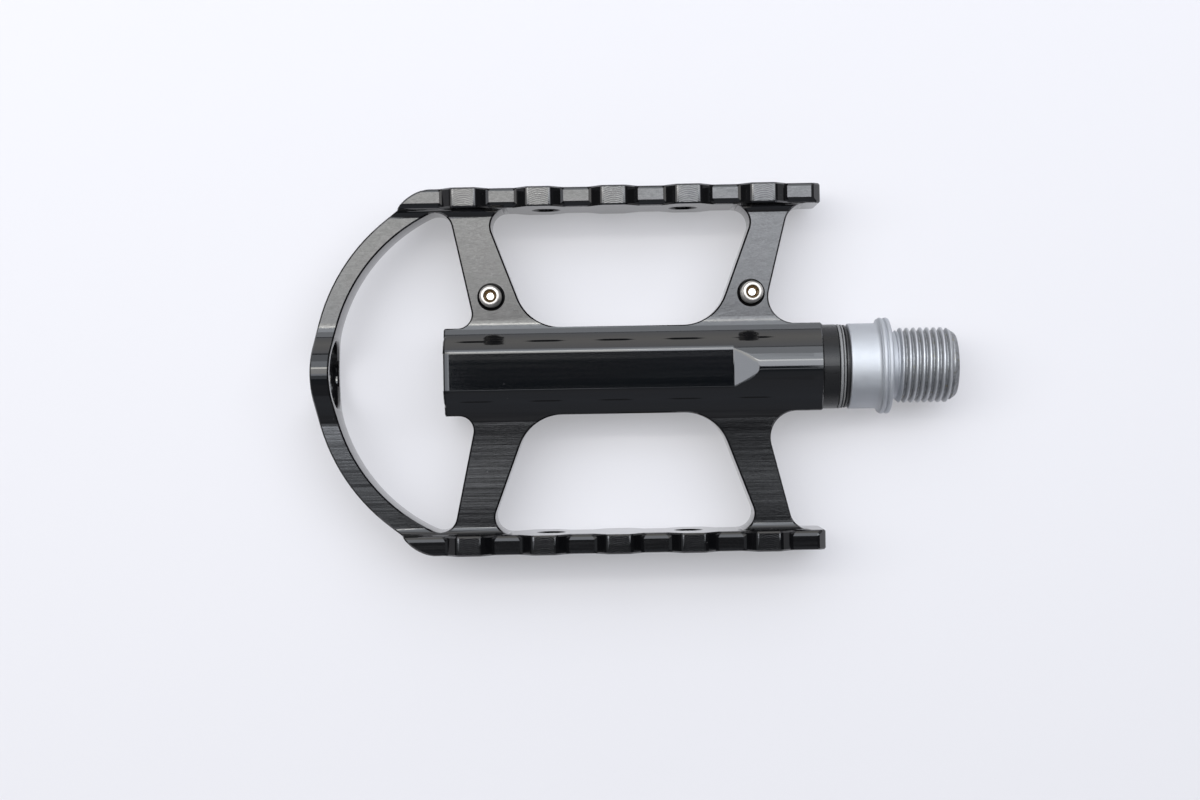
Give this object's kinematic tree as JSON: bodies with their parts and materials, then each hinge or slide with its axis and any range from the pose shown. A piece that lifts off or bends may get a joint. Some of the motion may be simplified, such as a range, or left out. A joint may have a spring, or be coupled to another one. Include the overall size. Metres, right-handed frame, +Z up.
{
  "type": "bicycle platform pedal",
  "caption": "Bicycle platform pedal: a milled cage with toothed rails and a round hoop at its free end, turning on a flanged spindle with a crank thread.",
  "frame": {"origin": "on the spindle's axis, where the crank thread starts", "axes": "+X along the spindle out of its crank end, +Y across the cage to one rail, +Z up through a tread face"},
  "size_m": [0.1209, 0.0684, 0.0182],
  "materials": {
    "anodised_cage": "gloss black anodised over milled aluminium",
    "anodised_cap": "satin black anodised",
    "spindle_steel": "satin zinc plate",
    "pin_steel": "bright nickel plate",
    "bushing_polymer": "semi-gloss black polymer",
    "seal_rubber": "satin rubber",
    "bearing_steel": "ground and polished",
    "retainer_steel": "pressed sheet",
    "shield_steel": "pressed sheet",
    "spacer_steel": "turned",
    "nut_steel": "zinc plate"
  },
  "bodies": {
    "spindle": {"spindle": "spindle_steel", "spindle_seal": "seal_rubber", "inner_bearing_inner_race": "bearing_steel", "outer_bearing_inner_race": "bearing_steel", "bearing_spacer": "spacer_steel", "lock_washer": "nut_steel", "lock_nut": "nut_steel"},
    "cage": {"pedal_cage": "anodised_cage", "flanged_bushing": "bushing_polymer", "traction_pin_top_inboard": "pin_steel", "traction_pin_top_outboard": "pin_steel", "traction_pin_bottom_inboard": "pin_steel", "traction_pin_bottom_outboard": "pin_steel", "inner_bearing_outer_race": "bearing_steel", "inner_bearing_shields": "shield_steel", "outer_bearing_outer_race": "bearing_steel", "outer_bearing_shields": "shield_steel", "end_cap": "anodised_cap", "end_cap_o_ring": "seal_rubber"},
    "inner_balls": {"inner_bearing_balls": "bearing_steel", "inner_bearing_retainer": "retainer_steel"},
    "outer_balls": {"outer_bearing_balls": "bearing_steel", "outer_bearing_retainer": "retainer_steel"}
  },
  "joints": [
    {"name": "pedal_spin", "type": "hinge", "parent": "spindle", "child": "cage", "pos_m": [-0.05, 0, 0], "axis": [1, 0, 0], "continuous": true},
    {"name": "inner_balls_roll", "type": "hinge", "parent": "spindle", "child": "inner_balls", "pos_m": [-0.05, 0, 0], "axis": [1, 0, 0], "continuous": true},
    {"name": "outer_balls_roll", "type": "hinge", "parent": "spindle", "child": "outer_balls", "pos_m": [-0.05, 0, 0], "axis": [1, 0, 0], "continuous": true}
  ],
  "couplings": [
    {"joint": "inner_balls_roll", "follows": "pedal_spin", "ratio": 0.5884},
    {"joint": "outer_balls_roll", "follows": "pedal_spin", "ratio": 0.5884}
  ]
}
